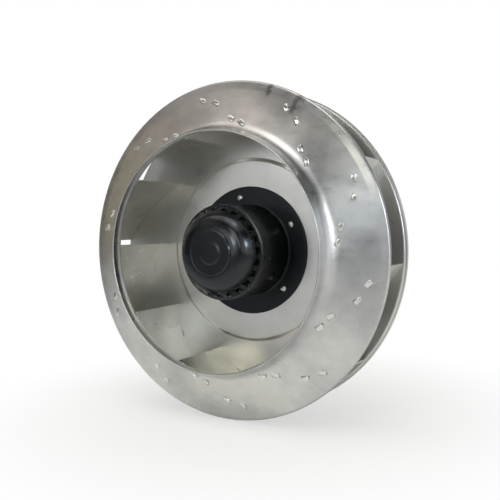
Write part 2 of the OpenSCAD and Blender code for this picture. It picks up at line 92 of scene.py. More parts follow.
# inlet shroud, from the eye out: collar, flare, hollow cone, flat band, rim lip
EYE_R = 123.5
COLLAR = 5.0
FLARE_R = 18.0
CONE_DEG = 24.0
CONE_R = 300.0
CONE_SKIP_DEG = 0.6
BAND = 9.0
BAND_DEG = 14.0
LIP_R = 2.6

# back plate, from the bore out: raised centre, step of two bends, ring, rim with a hem
BORE_GAP = 0.5
RAISE = 2.5
PLATE_H = CENTRE_H - RAISE
BOSS_R = 98.5
STEP_R = 2.5
STEP_DEG = 40.0
BACK_BEND_R = 2.0
HEM = 0.9
HEM_W = 4.0

SHEET_SEGMENTS, SLEEVE_SEGMENTS, CAP_SEGMENTS = 540, 300, 480


def arc(centre, r, a0, a1, n):
    """Points on an arc between two angles in degrees."""
    a = np.radians(np.linspace(a0, a1, n + 1))
    return np.stack([centre[0] + r * np.cos(a), centre[1] + r * np.sin(a)], 1)


def line(p, q, n):
    """Points from p up to, and not at, q."""
    s = np.arange(n)[:, None] / n
    return np.asarray(p) * (1 - s) + np.asarray(q) * s


def to_row(points):
    """From millimetres in the wheel frame to metres in the row frame."""
    points = np.asarray(points, float)
    return np.stack([points[:, 0], -points[:, 2], points[:, 1]], 1) * MM


# ---------------------------------------------------------------- mesh tools
def shade(obj):
    """Shades smoothly up to an angle between faces."""
    obj.data.shade_smooth()
    obj.data.set_sharp_from_angle(angle=math.radians(SHARP_DEG))


def placed(name, data):
    """An object in the scene that shows some data."""
    obj = bpy.data.objects.new(name, data)
    bpy.context.scene.collection.objects.link(obj)
    return obj


def make_object(name, points, faces):
    """An object from points in the wheel frame."""
    mesh = bpy.data.meshes.new(name)
    mesh.from_pydata([tuple(p) for p in to_row(points)], [], [tuple(f) for f in faces])
    mesh.validate()
    obj = placed(name, mesh)
    clean(obj)
    return obj


def clean(obj):
    """Welds what meets, drops slivers, turns the faces outwards and shades them."""
    work = bmesh.new()
    work.from_mesh(obj.data)
    bmesh.ops.remove_doubles(work, verts=work.verts, dist=WELD)
    bmesh.ops.dissolve_degenerate(work, edges=work.edges, dist=SLIVER)
    bmesh.ops.recalc_face_normals(work, faces=work.faces)
    work.to_mesh(obj.data)
    work.free()
    shade(obj)


def revolve(profile, n, shift=None):
    """Turns a closed (r, h) profile about the axis. shift(x, y) raises points along h."""
    profile = np.asarray(profile, float)
    a = np.arange(n) * 2 * np.pi / n
    x = np.outer(np.cos(a), profile[:, 0])
    y = np.outer(np.sin(a), profile[:, 0])
    h = np.repeat(profile[None, :, 1], n, 0)
    if shift is not None:
        h = h + shift(x, y)
    m = len(profile)
    points = np.stack([x, y, h], 2).reshape(-1, 3)
    i, j = np.meshgrid(np.arange(n), np.arange(m), indexing="ij")
    i2, j2 = (i + 1) % n, (j + 1) % m
    faces = np.stack([i * m + j, i2 * m + j, i2 * m + j2, i * m + j2], 2).reshape(-1, 4)
    return points, faces.tolist()


def grid_solid(front, back):
    """A closed sheet between two grids of points of the same shape."""
    nu, nv = front.shape[:2]
    points = np.concatenate([front.reshape(-1, 3), back.reshape(-1, 3)])
    off = nu * nv
    faces = []
    for i in range(nu - 1):
        for j in range(nv - 1):
            a, b, c, d = i * nv + j, (i + 1) * nv + j, (i + 1) * nv + j + 1, i * nv + j + 1
            faces.append((a, b, c, d))
            faces.append((a + off, d + off, c + off, b + off))
    for i in range(nu - 1):
        for j, flip in ((0, 1), (nv - 1, 0)):
            a, b = i * nv + j, (i + 1) * nv + j
            faces.append((a, b, b + off, a + off)[:: -1 if flip else 1])
    for j in range(nv - 1):
        for i, flip in ((0, 0), (nu - 1, 1)):
            a, b = i * nv + j, i * nv + j + 1
            faces.append((a, b, b + off, a + off)[:: -1 if flip else 1])
    return points, faces


def sweep(path, wide, up, widths, thick, corner=0.3):
    """A flat strip with round corners along a path. wide and up are its width and thickness
    axes at each point."""
    ring = []
    t = thick / 2
    for sx, sy, steps in ((1, 1, (0, 45, 90)), (-1, 1, (90, 135, 180)),
                          (-1, -1, (180, 225, 270)), (1, -1, (270, 315, 360))):
        for a in steps:
            ring.append((sx, sy, math.cos(math.radians(a)), math.sin(math.radians(a))))
    m = len(ring)
    points = []
    for p, w, u, half in zip(path, wide, up, np.asarray(widths) / 2):
        for sx, sy, ca, sa in ring:
            points.append(p + w * (sx * (half - corner) + corner * ca)
                          + u * (sy * (t - corner) + corner * sa))
    n = len(path)
    faces = []
    for i in range(n - 1):
        for j in range(m):
            k = (j + 1) % m
            faces.append((i * m + j, i * m + k, (i + 1) * m + k, (i + 1) * m + j))
    faces.append(tuple(range(m))[::-1])
    faces.append(tuple((n - 1) * m + j for j in range(m)))
    return points, faces


def box_mesh(centre, axes, sizes, corner, steps=3):
    """A prism along the third axis whose section is a rectangle with round corners."""
    centre, axes = np.asarray(centre, float), np.asarray(axes, float)
    sx, sy, sz = np.asarray(sizes) / 2
    ring = []
    for k, (qx, qy) in enumerate(((1, 1), (-1, 1), (-1, -1), (1, -1))):
        for a in np.radians(np.linspace(90 * k, 90 * k + 90, steps + 1)):
            ring.append((qx * (sx - corner) + corner * math.cos(a),
                         qy * (sy - corner) + corner * math.sin(a)))
    m = len(ring)
    points = [centre + x * axes[0] + y * axes[1] + z * axes[2]
              for z in (-sz, sz) for x, y in ring]
    faces = [(j, (j + 1) % m, m + (j + 1) % m, m + j) for j in range(m)]
    faces += [tuple(range(m))[::-1], tuple(range(m, 2 * m))]
    return points, faces


def joined(parts):
    """Several lists of points and faces as one."""
    points, faces = [], []
    for p, f in parts:
        off = len(points)
        points.extend(p)
        faces.extend([tuple(off + k for k in face) for face in f])
    return points, faces


def cut(obj, parts):
    """Cuts closed shapes out of an object."""
    cutter = make_object("cutter", *joined(parts))
    mod = obj.modifiers.new("cut", "BOOLEAN")
    mod.operation = "DIFFERENCE"
    mod.solver = "EXACT"
    mod.object = cutter
    result = obj.evaluated_get(bpy.context.evaluated_depsgraph_get())
    mesh = bpy.data.meshes.new_from_object(result)
    obj.modifiers.clear()
    obj.data = mesh
    bpy.data.objects.remove(cutter)
    shade(obj)


def rounded_edge(p, q, n=6):
    """A half circle over the edge of a sheet, from face point p round to face point q."""
    p, q = np.asarray(p, float), np.asarray(q, float)
    c, r = (p + q) / 2, np.linalg.norm(p - q) / 2
    a0 = math.degrees(math.atan2(p[1] - c[1], p[0] - c[0]))
    return arc(c, r, a0, a0 - 180, n)


# ---------------------------------------------------------------- sections
# Profiles are (r, h) points. The last number given to arc and line is the count of steps.
flare_c = np.array([EYE_R + FLARE_R, EYE_H - COLLAR])
cone_c = flare_c + (CONE_R - FLARE_R) * np.array(
    [math.sin(math.radians(CONE_DEG)), math.cos(math.radians(CONE_DEG))])
crease_r = RIM_R - BAND
crease_deg = math.degrees(math.asin((cone_c[0] - crease_r) / CONE_R))
crease_h = cone_c[1] - CONE_R * math.cos(math.radians(crease_deg))
lip_x = RIM_R - LIP_R
lip_c = np.array([lip_x, crease_h - (lip_x - crease_r) * math.tan(math.radians(BAND_DEG)) - LIP_R])


def shroud_line(d):
    """The shroud's section at depth d behind its front face, from the eye to the rim."""
    e = SHEET / 2
    flare = arc(flare_c, FLARE_R + d, 180, 270 - CONE_DEG, 22)
    cone = arc(cone_c, CONE_R + d, 270 - CONE_DEG + CONE_SKIP_DEG, 270 - crease_deg, 44)
    lip = arc(lip_c, LIP_R - d, 90 - BAND_DEG, 0, 8)
    return np.concatenate([
        line([EYE_R - d, EYE_H - e], flare[0], 4), flare, cone,
        line(cone[-1], lip[0], 7)[1:], lip,
        [[RIM_R - d, RIM_H + e]],
    ])


step_rad = math.radians(STEP_DEG)
bend_drop = 2 * STEP_R * (1 - math.cos(step_rad))
wall_run = (CENTRE_H - PLATE_H - bend_drop) / math.tan(step_rad)
step_in = np.array([BOSS_R, CENTRE_H - STEP_R])
step_out = np.array([BOSS_R + 2 * STEP_R * math.sin(step_rad) + wall_run, PLATE_H + STEP_R])
lip_r = BACK_R - HEM


def plate_line(d):
    """The back plate's section at depth d behind its front face, from the bore out."""
    inner = arc(step_in, STEP_R - d, 90, 90 - STEP_DEG, 10)
    outer = arc(step_out, STEP_R + d, 270 - STEP_DEG, 270, 10)
    bend = arc([lip_r - BACK_BEND_R, PLATE_H - BACK_BEND_R], BACK_BEND_R - d, 90, 0, 8)
    return np.concatenate([
        line([ROTOR_R + BORE_GAP, CENTRE_H - d], inner[0], 12), inner,
        line(inner[-1], outer[0], 3)[1:], outer,
        line(outer[-1], bend[0], 20)[1:], bend,
        line(bend[-1], [lip_r - d, BACK_H + SHEET / 2], 4)[1:],
        [[lip_r - d, BACK_H + SHEET / 2]],
    ])


def smooth_profile(points, n):
    """A Catmull-Rom curve through the points, n steps to a span."""
    p = np.asarray(points, float)
    p = np.concatenate([[2 * p[0] - p[1]], p, [2 * p[-1] - p[-2]]])
    out = []
    for i in range(1, len(p) - 2):
        for s in np.arange(n) / n:
            out.append(0.5 * (2 * p[i] + (p[i + 1] - p[i - 1]) * s
                              + (2 * p[i - 1] - 5 * p[i] + 4 * p[i + 1] - p[i + 2]) * s ** 2
                              + (3 * p[i] - p[i - 1] - 3 * p[i + 1] + p[i + 2]) * s ** 3))
    out.append(p[-2])
    return np.array(out)


# ---------------------------------------------------------------- blade curve
# inner and outer radius, angle between its two ends, radius of its arc
BLADE_IN, BLADE_OUT, BLADE_WRAP, BLADE_R = 123.0, 173.5, 35.4, 200.0
BLADES, BLADE_PHASE, BLADE_GAP, BLADE_GRID = 10, -3.8, 0.05, (56, 20)
# how far a blade may be out of true: a plain bow, and a ripple along it
BOW, RIPPLE = 0.25, 0.2
# each tab: its share of the blade from the trailing edge, and the side it is folded to
FRONT_TABS = ((0.21, -1), (0.385, 1), (0.665, -1), (0.8, 1))
BACK_TABS = ((0.16, -1), (0.4, 1), (0.66, -1), (0.88, 1))
TAB_W, TAB_L, TAB_T = 8.0, 5.0, SHEET * 0.92
TAB_BEND, TAB_BEND_STEPS, TAB_GAP = 1.15, 7, 0.12
# how deep inside the wheel a tab starts, and where on the way out its second point lies
FRONT_ROOT, BACK_ROOT, ROOT_SHARE = 7.0, 5.0, 0.4
SLOT_PLAY, SLOT_SHIFT, SLOT_DEPTH, SLOT_CORNER = 0.5, 0.25, 16.0, 0.4
lead_p = np.array([BLADE_IN, 0.0])
wrap = math.radians(BLADE_WRAP)
trail_p = BLADE_OUT * np.array([math.cos(wrap), math.sin(wrap)])
chord = trail_p - lead_p
half_chord = np.linalg.norm(chord) / 2
blade_c = (lead_p + trail_p) / 2 + math.sqrt(BLADE_R ** 2 - half_chord ** 2) * np.array(
    [-chord[1], chord[0]]) / (2 * half_chord)
lead_a = math.atan2(lead_p[1] - blade_c[1], lead_p[0] - blade_c[0])
trail_a = math.atan2(trail_p[1] - blade_c[1], trail_p[0] - blade_c[0])


def turned(p, deg):
    """A plan point or direction turned about the spin axis."""
    a = math.radians(deg)
    return np.array([p[0] * math.cos(a) - p[1] * math.sin(a),
                     p[0] * math.sin(a) + p[1] * math.cos(a)])


def blade_at(s, i):
    """Place, tangent and normal in plan at a share s of blade i from its trailing edge."""
    a = trail_a + (lead_a - trail_a) * s
    n = np.array([math.cos(a), math.sin(a)])
    t = np.array([-n[1], n[0]])
    turn = BLADE_PHASE + 360 / BLADES * i
    return turned(blade_c + BLADE_R * n, turn), turned(t, turn), turned(n, turn)


front_face = shroud_line(0.0)
under_face = shroud_line(SHEET + BLADE_GAP)
front_face = front_face[np.argsort(front_face[:, 0])]
under_face = under_face[np.argsort(under_face[:, 0])]


def front_height(r):
    return np.interp(r, front_face[:, 0], front_face[:, 1])


# the sheet isn't perfectly even: shallow waves, and a dint under each folded tab
WAVES, WAVE_MM = 16, 0.045
DINT_MM, DINT_R, DINT_OFF = 0.16, 6.0, 2.0
# the waves begin EYE_START mm out from the eye and grow over the next EYE_RUN; over
# RIM_RUN mm before the rim they sink to RIM_SHARE of their height
EYE_START, EYE_RUN = 4, 16
RIM_START, RIM_RUN, RIM_SHARE = 2, 8, 0.35
waves = [(rng.uniform(34, 80), rng.uniform(0, 360), rng.uniform(0, 6.28), rng.uniform(0.3, 1))
         for _ in range(WAVES)]
front_places = []
for i in range(BLADES):
    for share, side in FRONT_TABS:
        place, along, across = blade_at(share, i)
        front_places.append(place + across * side * DINT_OFF)


def sheet_wave(x, y):
    """How far the shroud is out of true along h at a place in plan."""
    out = np.zeros_like(x)
    for length, deg, phase, size in waves:
        a = math.radians(deg)
        out += size * np.sin((x * math.cos(a) + y * math.sin(a)) * 2 * np.pi / length + phase)
    r = np.hypot(x, y)
    inner = np.clip((r - EYE_R - EYE_START) / EYE_RUN, 0, 1)
    outer = np.clip((RIM_R - RIM_START - r) / RIM_RUN, 0, 1)
    out = out * WAVE_MM * inner * (RIM_SHARE + (1 - RIM_SHARE) * outer)
    for px, py in front_places:
        out -= DINT_MM * np.exp(-((x - px) ** 2 + (y - py) ** 2) / DINT_R ** 2)
    return out


# ---------------------------------------------------------------- impeller pieces
def tab(i, s, side, lift, front=True):
    """A tab of blade i, through its slot and folded over the sheet, lift radians off it."""
    place, along, across = blade_at(s, i)
    r = float(np.hypot(*place))
    radial = np.array([place[0] / r, place[1] / r, 0.0])
    axis = np.array([0.0, 0.0, 1.0])
    along3, across3 = np.append(along, 0.0), np.append(across, 0.0) * side
    if front:
        # the sheet is hollow here, so a flat tab rests on its inner and outer edges
        middle = r + float(across3[:2] @ radial[:2]) * TAB_L / 2
        inner, outer = front_height(middle - TAB_W / 2), front_height(middle + TAB_W / 2)
        slope = math.atan2(inner - outer, TAB_W)
        normal = math.cos(slope) * axis + math.sin(slope) * radial
        base = np.array([*place, (inner + outer) / 2 + math.tan(slope) * (middle - r)])
        base[2] += float(sheet_wave(np.array(base[0]), np.array(base[1])))
        start = -axis * FRONT_ROOT
        out = axis
    else:
        normal = -axis
        base = np.array([*place, PLATE_H - SHEET])
        start = axis * BACK_ROOT
        out = -axis
    flat = across3 - normal * (across3 @ normal)
    flat /= np.linalg.norm(flat)
    flat = flat * math.cos(lift) + normal * math.sin(lift)
    path, heading = [base + start, base + start * ROOT_SHARE], [out, out]
    p = base + out * (SHEET / 2 + TAB_GAP - TAB_BEND)
    path.append(p.copy())
    heading.append(out)
    for k in range(1, TAB_BEND_STEPS + 1):
        w = k / TAB_BEND_STEPS
        d = out * math.cos(w * math.pi / 2) + flat * math.sin(w * math.pi / 2)
        d /= np.linalg.norm(d)
        p = p + (heading[-1] + d) / 2 * TAB_BEND * math.pi / 2 / TAB_BEND_STEPS
        path.append(p.copy())
        heading.append(d)
    reach = TAB_L - SHEET / 2 - TAB_BEND
    for w in (0.45, 0.75, 0.9, 1.0):
        path.append(p + flat * reach * w)
        heading.append(flat)
    wide, up = [], []
    for d in heading:
        u = np.cross(d, along3)
        u /= np.linalg.norm(u)
        w = np.cross(u, d)
        wide.append(w)
        up.append(u)
    # narrow in the slot, wider on the sheet, with a rounded end
    widths = [TAB_W - 1.0] * 4 + [TAB_W - 0.6] * (len(path) - 7) + [
        TAB_W - 0.5, TAB_W - 1.2, TAB_W - 3.0]
    return sweep(path, wide, up, widths, TAB_T)


def blade(i):
    """A blade a little out of true, with its tabs."""
    nu, nv = BLADE_GRID
    low = PLATE_H + BLADE_GAP
    wobble = rng.uniform(-1, 1, 4)
    grids = []
    for off in (SHEET / 2, -SHEET / 2):
        grid = np.zeros((nu, nv, 3))
        for a in range(nu):
            s = a / (nu - 1)
            place, along, across = blade_at(s, i)
            top = np.interp(np.hypot(*place), under_face[:, 0], under_face[:, 1])
            for b in range(nv):
                w = b / (nv - 1)
                bow = math.sin(math.pi * w) * math.sin(math.pi * s) * (
                    BOW * wobble[0]
                    + RIPPLE * wobble[1] * math.sin(2 * math.pi * s + 3 * wobble[2]))
                q = place + across * (off + bow)
                grid[a, b] = (q[0], q[1], low + (top - low) * w)
        grids.append(grid)
    parts = [grid_solid(*grids)]
    for s, side in FRONT_TABS:
        parts.append(tab(i, s, side, math.radians(rng.uniform(0.5, 5.0))))
    for s, side in BACK_TABS:
        parts.append(tab(i, s, side, math.radians(rng.uniform(0.5, 4.0)), front=False))
    return make_object(f"wheel_blade_{i + 1:02d}", *joined(parts))


def slot_boxes(tabs, height_at):
    """The shapes that cut the tabs' slots. height_at gives the sheet's height at a radius."""
    for i in range(BLADES):
        for s, side in tabs:
            place, along, across = blade_at(s, i)
            yield box_mesh([*(place + across * side * SLOT_SHIFT), height_at(np.hypot(*place))],
                           [[*along, 0], [*across, 0], [0, 0, 1]],
                           [TAB_W + SLOT_PLAY, SHEET + SLOT_PLAY, SLOT_DEPTH], SLOT_CORNER)


front, under = shroud_line(0.0), shroud_line(SHEET)
profile = np.concatenate([
    rounded_edge(under[0], front[0]), front[1:-1],
    rounded_edge(front[-1], under[-1]), under[1:-1][::-1],
])
shroud = make_object("wheel_inlet_shroud", *revolve(profile, SHEET_SEGMENTS, sheet_wave))
cut(shroud, slot_boxes(FRONT_TABS, front_height))
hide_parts("inlet_shroud")

front, under = plate_line(0.0), plate_line(SHEET)
profile = np.concatenate([
    rounded_edge(under[0], front[0]), front[1:-1],
    [[lip_r, BACK_H + HEM_W + 0.5], [lip_r + 0.12, BACK_H + HEM_W - 0.1]],
    [[BACK_R - 0.25, BACK_H + HEM_W], [BACK_R, BACK_H + HEM_W - 0.35]],
    rounded_edge([BACK_R, BACK_H + (BACK_R - lip_r + SHEET) / 2],
                 [lip_r - SHEET, BACK_H + (BACK_R - lip_r + SHEET) / 2], 8),
    under[1:-1][::-1],
])
plate = make_object("wheel_back_plate", *revolve(profile, SHEET_SEGMENTS))
cut(plate, slot_boxes(BACK_TABS, lambda r: PLATE_H))
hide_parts("back_plate")

blades = []
for i in range(BLADES):
    made = blade(i)
    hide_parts(f"blade_{i + 1:02d}")
    blades.append(made)

# ---------------------------------------------------------------- rotor pieces
FLANGE_T, SLEEVE_IN = 2.0, 46.0
FOOT_R, EDGE_R, FILLET_R, MOUTH_R = 0.4, 0.9, 2.4, 0.3
flange_top = CENTRE_H + FLANGE_T

fillet = arc([ROTOR_R + FILLET_R, flange_top + FILLET_R], FILLET_R, 270, 180, 8)
profile = np.concatenate([
    line([SLEEVE_IN, FLANGE_H], [FLANGE_R - FOOT_R, FLANGE_H], 8),
    arc([FLANGE_R - FOOT_R, FLANGE_H + FOOT_R], FOOT_R, -90, 0, 3),
    arc([FLANGE_R - EDGE_R, flange_top - EDGE_R], EDGE_R, 0, 90, 5),
    line([FLANGE_R - 1.2, flange_top], fillet[0], 10), fillet[:-1],
    line(fillet[-1], [ROTOR_R, SLEEVE_H - MOUTH_R], 20),
    arc([ROTOR_R - MOUTH_R, SLEEVE_H - MOUTH_R], MOUTH_R, 0, 90, 3),
    line([SLEEVE_IN, SLEEVE_H], [SLEEVE_IN, FLANGE_H], 10),
])
sleeve = make_object("motor_rotor_sleeve", *revolve(profile, SLEEVE_SEGMENTS))
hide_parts("rotor_sleeve")

BEAD_T, CAP_WALL = 3.0, 2.6
HUB_IN, HUB_OUT, HUB_H = 6.05, 12.0, 90.5
VENTS, VENT_W, VENT_CORNER, VENT_PHASE = 24, 6.6, 1.6, -5
base_h = SLEEVE_H + BEAD_T
vent_low, vent_high = base_h + 1.2, base_h + 8.8
# the domed side, from the bead up to the pressed disc
dome = smooth_profile([
    [ROTOR_R - 1.6, base_h + 0.35],
    [ROTOR_R - 2.3, base_h + 2.4], [ROTOR_R - 3.6, base_h + 5.2],
    [ROTOR_R - 5.4, base_h + 8.2], [ROTOR_R - 9.4, base_h + 13.2],
    [ROTOR_R - 12.6, base_h + 16.2], [ROTOR_R - 15.2, base_h + 17.8],
    [ROTOR_R - 18.2, NOSE_H - 2.2], [ROTOR_R - 21.6, NOSE_H - 1.35],
    [24.6, NOSE_H - 1.0]], 6)
# bead, dome, groove round the disc, disc and the low boss in its middle
outside = np.concatenate([
    arc([BEAD_R - 0.5, SLEEVE_H + 0.52], 0.5, -90, 0, 3),
    arc([BEAD_R - 0.8, base_h - 0.8], 0.8, 0, 90, 5),
    line([BEAD_R - 1.0, base_h], [ROTOR_R - 1.2, base_h], 2)[1:],
    dome,
    arc([23.5, NOSE_H - 0.6], 0.45, -60, -90, 2), arc([22.2, NOSE_H - 0.55], 0.55, 20, 90, 5),
    line([21.8, NOSE_H], [12.6, NOSE_H], 6),
    arc([12.6, NOSE_H + 2.0], 2.0, 270, 245, 4),
    arc([10.2, NOSE_H - 2.1], 3.0, 62, 90, 8),
    line([9.4, NOSE_H + 0.92], [0.0, NOSE_H + 1.0], 4), [[0.0, NOSE_H + 1.0]],
])
# the hub that holds the shaft, the wall and the spigot in the sleeve
inside = np.array([
    [0.0, NOSE_H - CAP_WALL], [HUB_IN, NOSE_H - CAP_WALL], [HUB_IN, HUB_H], [HUB_OUT, HUB_H],
    [HUB_OUT, NOSE_H - CAP_WALL - 0.8], [ROTOR_R - 21, NOSE_H - CAP_WALL - 1.6],
    [ROTOR_R - 17.6, base_h + 15.2], [ROTOR_R - 12.2, base_h + 11.4],
    [ROTOR_R - 8, base_h + 6.4], [ROTOR_R - 6, base_h + 0.6],
    [SLEEVE_IN - 2.4, SLEEVE_H - 2.5], [SLEEVE_IN - 0.05, SLEEVE_H - 2.5],
    [SLEEVE_IN - 0.05, SLEEVE_H + 0.02],
])
profile = np.concatenate([outside, inside])
cap = make_object("motor_end_cap", *revolve(profile, CAP_SEGMENTS))
vents = []
for k in range(VENTS):
    a = math.radians(180 / VENTS + VENT_PHASE + 360 / VENTS * k)
    out, side = [math.cos(a), math.sin(a), 0], [-math.sin(a), math.cos(a), 0]
    mid = np.array(out) * (ROTOR_R - 4) + np.array([0, 0, (vent_low + vent_high) / 2])
    vents.append(box_mesh(mid, [side, [0, 0, 1], out],
                          [VENT_W, vent_high - vent_low, 20], VENT_CORNER, steps=5))
cut(cap, vents)
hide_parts("rotor_end_cap")

RIVETS, RIVET_R, RIVET_PHASE, RIVET_HEAD, RIVET_GAP = 5, 59.5, 27.6, 3.5, 0.02
# a domed head with the hollow the mandrel leaves, and a flat tail on the far side
dome_line = [[RIVET_HEAD * math.cos(t), 0.25 + 1.7 * math.sin(t)]
             for t in np.radians(np.arange(0, 90, 9))]
head_line = [[0, -0.01], [RIVET_HEAD - 0.15, -0.01], *dome_line,
             [0.9, 1.98], [0.7, 1.55], [0, 1.5]]
tail_line = [[0, 0], [2.9, 0], [3.0, 0.3], [2.7, 1.5], [1.8, 1.8], [0, 1.8]]
parts = []
for k in range(RIVETS):
    a = math.radians(RIVET_PHASE + 360 / RIVETS * k)
    for profile, n, sign, h in ((head_line, 36, 1, flange_top + RIVET_GAP),
                                (tail_line, 28, -1, CENTRE_H - SHEET - RIVET_GAP)):
        points, faces = revolve(profile, n)
        points = points * [1, 1, sign] + [RIVET_R * math.cos(a), RIVET_R * math.sin(a), h]
        parts.append((points, faces))
rivets = make_object("wheel_flange_rivets", *joined(parts))
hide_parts("flange_rivets")

for piece in [shroud, plate, *blades, sleeve, cap, rivets]:
    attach(piece, ROTOR)


# ---------------------------------------------------------------- materials
def add_node(tree, kind, inputs=(), **settings):
    """Adds a node. An input is a value or another node's output."""
    made = tree.nodes.new(kind)
    for key, value in settings.items():
        setattr(made, key, value)
    for key, value in dict(inputs).items():
        if isinstance(value, bpy.types.NodeSocket):
            tree.links.new(value, made.inputs[key])
        else:
            made.inputs[key].default_value = value
    return made


class Shader:
    """Adds nodes to a material, so that a finish reads as a short list of steps."""

    def __init__(self, name):
        self.material = bpy.data.materials.new(name)
        self.material.use_nodes = True
        self.tree = self.material.node_tree
        self.tree.nodes.clear()
        self.where = self.tree.nodes.new("ShaderNodeTexCoord").outputs["Object"]

    def add(self, kind, inputs=(), **settings):
        return add_node(self.tree, kind, inputs, **settings)

    def math(self, kind, a, b=0.0):
        return self.add("ShaderNodeMath", {0: a, 1: b}, operation=kind).outputs[0]

    def scaled(self, factors):
        return self.add("ShaderNodeMapping", {"Vector": self.where,
                                              "Scale": factors}).outputs[0]

    def noise(self, scale, detail, rough, vector=None):
        return self.add("ShaderNodeTexNoise", {
            "Vector": vector or self.where, "Scale": scale,
            "Detail": detail, "Roughness": rough}).outputs[0]

    def fit(self, value, low, high, to_low, to_high):
        return self.add("ShaderNodeMapRange", {
            "Value": value, "From Min": low, "From Max": high,
            "To Min": to_low, "To Max": to_high}).outputs[0]

    def mix(self, factor, a, b):
        return self.add("ShaderNodeMix", {0: factor, 6: a, 7: b}, data_type="RGBA").outputs[2]

    def bump(self, value, distance, normal=None):
        inputs = {"Height": value, "Distance": distance}
        if normal is not None:
            inputs["Normal"] = normal
        return self.add("ShaderNodeBump", inputs).outputs[0]

    def dot(self, axis):
        """How far out a place lies along a direction."""
        return self.add("ShaderNodeVectorMath", {0: self.where, 1: axis},
                        operation="DOT_PRODUCT").outputs["Value"]

    def axial(self):
        """Distance from the spin axis, and place along it."""
        x, y, z = self.add("ShaderNodeSeparateXYZ", {0: self.where}).outputs
        r = self.math("SQRT", self.math("ADD", self.math("MULTIPLY", x, x),
                                        self.math("MULTIPLY", z, z)))
        return r, y

    def finish(self, **inputs):
        names = {key.replace("_", " "): value for key, value in inputs.items()}
        surface = self.add("ShaderNodeBsdfPrincipled", names).outputs[0]
        self.add("ShaderNodeOutputMaterial", {"Surface": surface})
        return self.material


def rgb(r, g, b):
    """An opaque colour."""
    return (r, g, b, 1.0)


def sheet_metal(name, light, dark, rough, dent, grime=1.0, dark_streaks=(), polished_and_highlit=False):
    """Mill-finish sheet: cloudy between two tones, lightly rolled, with smudges, fine scratches
    and shallow dents. dent is how deep they are, in metres, and grime scales all fine marks.
    dark_streaks are dark marks along a radius: angle, inner radius, outer radius and half width.
    polished_and_highlit paints a highlight on the tabs by lightening their colour towards white,
    and lowers their roughness where the folding tool has polished them."""
    s = Shader(name)
    cloud = s.noise(16, 4, 0.6)
    smear = s.noise(46, 5, 0.65, s.scaled((1.0, 0.6, 2.2)))
    grain = s.noise(1.0, 2, 0.5, s.scaled((2600, 900, 260)))
    scratch = s.noise(1.0, 2, 0.5, s.scaled((120, 160, 2300)))
    speck = s.noise(420, 3, 0.6)
    lines = s.fit(scratch, 0.70, 0.78, 0.0, 1.0)
    dirt = s.fit(speck, 0.72, 0.84, 0.0, 0.10 * grime)
    tone = s.mix(s.fit(cloud, 0.40, 0.64, 0.0, 1.0), light, dark)
    tone = s.mix(s.fit(smear, 0.56, 0.74, 0.0, 0.14 * grime), tone, rgb(0.46, 0.44, 0.41))
    tone = s.mix(dirt, tone, rgb(0.30, 0.28, 0.26))
    # dark streaks along a radius, mixed near-black into the colour
    for deg, inner, outer, half in dark_streaks:
        out = Vector((math.cos(math.radians(deg)), 0.0, math.sin(math.radians(deg))))
        along, across = s.dot(out), s.dot(Vector((-out.z, 0.0, out.x)))
        ragged = s.fit(s.noise(110, 3, 0.6), 0.3, 0.7, -half, half)
        across = s.math("ABSOLUTE", s.math("ADD", across, ragged))
        mark = s.math("MULTIPLY", s.fit(across, half * 1.5, half * 0.2, 0.0, 0.65),
                      s.fit(along, inner - 0.004, inner, 0.0, 1.0))
        mark = s.math("MULTIPLY", mark, s.fit(along, outer + 0.004, outer, 0.0, 1.0))
        tone = s.mix(mark, tone, rgb(0.10, 0.105, 0.095))
    roughness = s.math("ADD", s.fit(smear, 0.3, 0.75, rough - 0.04, rough + 0.06),
                       s.fit(grain, 0.3, 0.7, -0.015, 0.015))
    roughness = s.math("ADD", roughness, s.math("MULTIPLY", lines, 0.02))
    if polished_and_highlit:
        # what stands proud of the shroud's cone is a tab
        r, y = s.axial()
        run = s.math("SUBTRACT", cone_c[0] * MM, r)
        drop = s.math("SQRT", s.math("SUBTRACT", (CONE_R * MM) ** 2, s.math("MULTIPLY", run, run)))
        face = s.math("SUBTRACT", cone_c[1] * MM, drop)
        proud = s.math("SUBTRACT", s.math("MULTIPLY", y, -1.0), face)
        proud = s.fit(proud, -0.0001, 0.0003, 0.0, 1.0)
        # painted highlight: the tabs' colour is lightened towards white
        tone = s.mix(s.math("MULTIPLY", proud, 0.8), tone, rgb(0.97, 0.97, 0.95))
        roughness = s.math("SUBTRACT", roughness, s.math("MULTIPLY", proud, 0.06))
    normal = s.bump(s.noise(21, 1.5, 0.45), dent)
    normal = s.bump(s.noise(75, 2, 0.5), dent * 0.10 * grime, normal)
    normal = s.bump(grain, 0.000003 * grime, normal)
    normal = s.bump(lines, 0.0000025 * grime, normal)
    return s.finish(Base_Color=tone, Metallic=1.0, Roughness=roughness, Normal=normal)


def paint(name, tone, dusty, rough, coat):
    """Stoved black paint: orange peel, dust and worn places."""
    s = Shader(name)
    cloud = s.noise(30, 4, 0.6)
    dust = s.noise(700, 3, 0.7)
    base = s.mix(s.fit(cloud, 0.35, 0.7, 0.0, 0.6), tone, dusty)
    base = s.mix(s.fit(dust, 0.66, 0.80, 0.0, 0.16), base, rgb(0.10, 0.095, 0.085))
    roughness = s.fit(s.noise(60, 4, 0.6), 0.3, 0.75, rough - 0.05, rough + 0.10)
    normal = s.bump(s.noise(650, 2, 0.5), 0.00003)
    normal = s.bump(s.noise(90, 2, 0.5), 0.0001, normal)
    # painted cool light: the bluish specular and coat tints colour the paint's reflections and the
    # paint under the coat
    return s.finish(Base_Color=base, Roughness=roughness, Normal=normal,
                    Specular_IOR_Level=0.4, Specular_Tint=rgb(0.80, 0.90, 1.0),
                    Coat_Weight=coat, Coat_Roughness=0.12, Coat_Tint=rgb(0.85, 0.92, 1.0))


